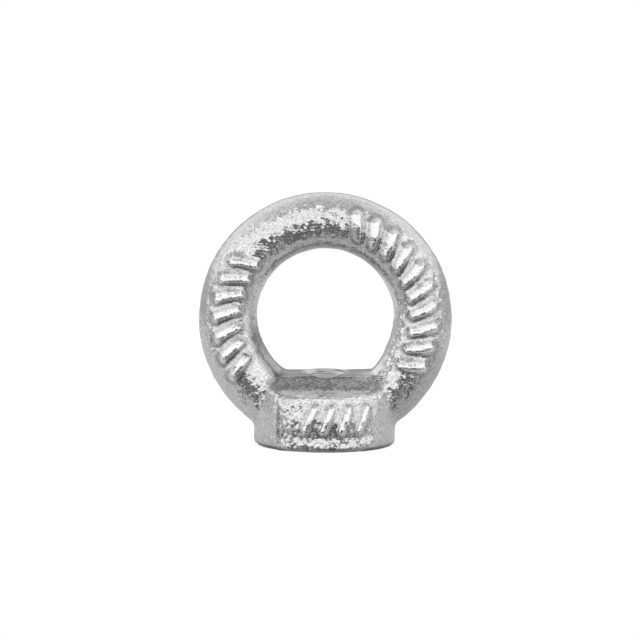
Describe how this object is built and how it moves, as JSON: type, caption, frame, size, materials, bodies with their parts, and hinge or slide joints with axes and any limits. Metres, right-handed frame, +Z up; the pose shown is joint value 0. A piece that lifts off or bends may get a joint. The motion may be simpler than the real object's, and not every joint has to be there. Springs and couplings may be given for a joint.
{
  "type": "lifting eye nut",
  "caption": "Forged round ring standing on a short round boss with a tapped through hole, for lifting or tying down by a stud.",
  "frame": {"origin": "middle of the boss's machined foot, where it seats on what it is screwed to", "axes": "+Z up along the thread axis towards the ring, +X across the ring, front of the ring towards -Y"},
  "size_m": [0.036, 0.0202, 0.036],
  "materials": {
    "zinc_plated_steel": "bright zinc plate over a shot-blasted drop forging"
  },
  "bodies": {
    "root": {"eye_nut": "zinc_plated_steel"}
  },
  "joints": []
}
